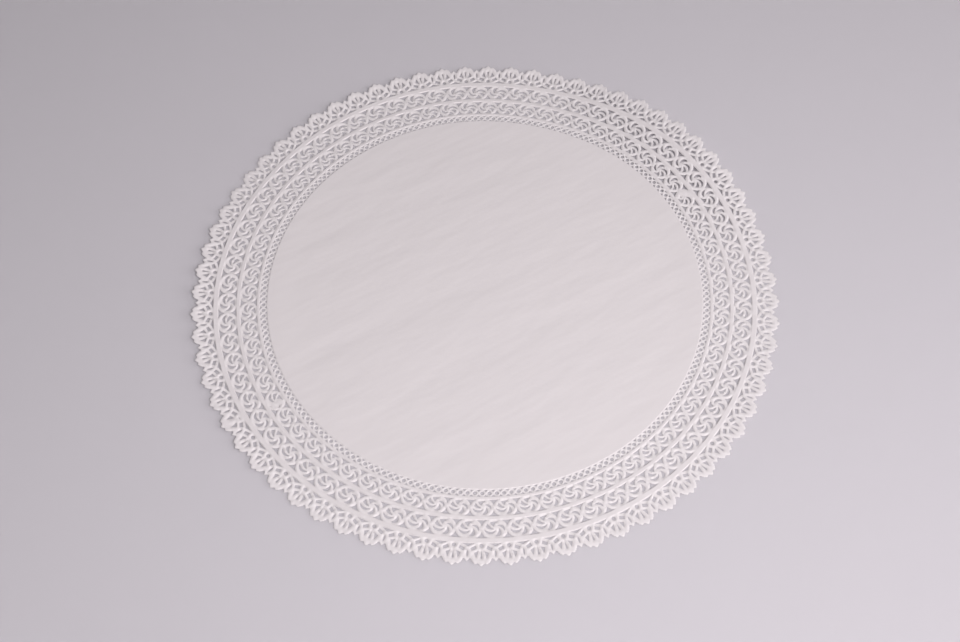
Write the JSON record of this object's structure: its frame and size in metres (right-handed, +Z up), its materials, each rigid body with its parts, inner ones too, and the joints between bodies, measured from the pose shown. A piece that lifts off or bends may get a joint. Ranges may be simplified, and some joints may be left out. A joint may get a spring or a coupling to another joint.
{
  "type": "lace doily",
  "caption": "Round white embossed paper lace doily: a smooth middle that food or a dish stands on, in an openwork border with a scalloped edge.",
  "frame": {"origin": "the middle of the underside, on the surface that the doily lies on", "axes": "+Z up through the sheet, away from the surface; +X through the tip of one fan of the border; +Y across it, 90 degrees round"},
  "size_m": [0.3597, 0.3591, 0.0093],
  "materials": {
    "doily": "matte"
  },
  "bodies": {
    "root": {"doily": "doily"}
  },
  "joints": []
}
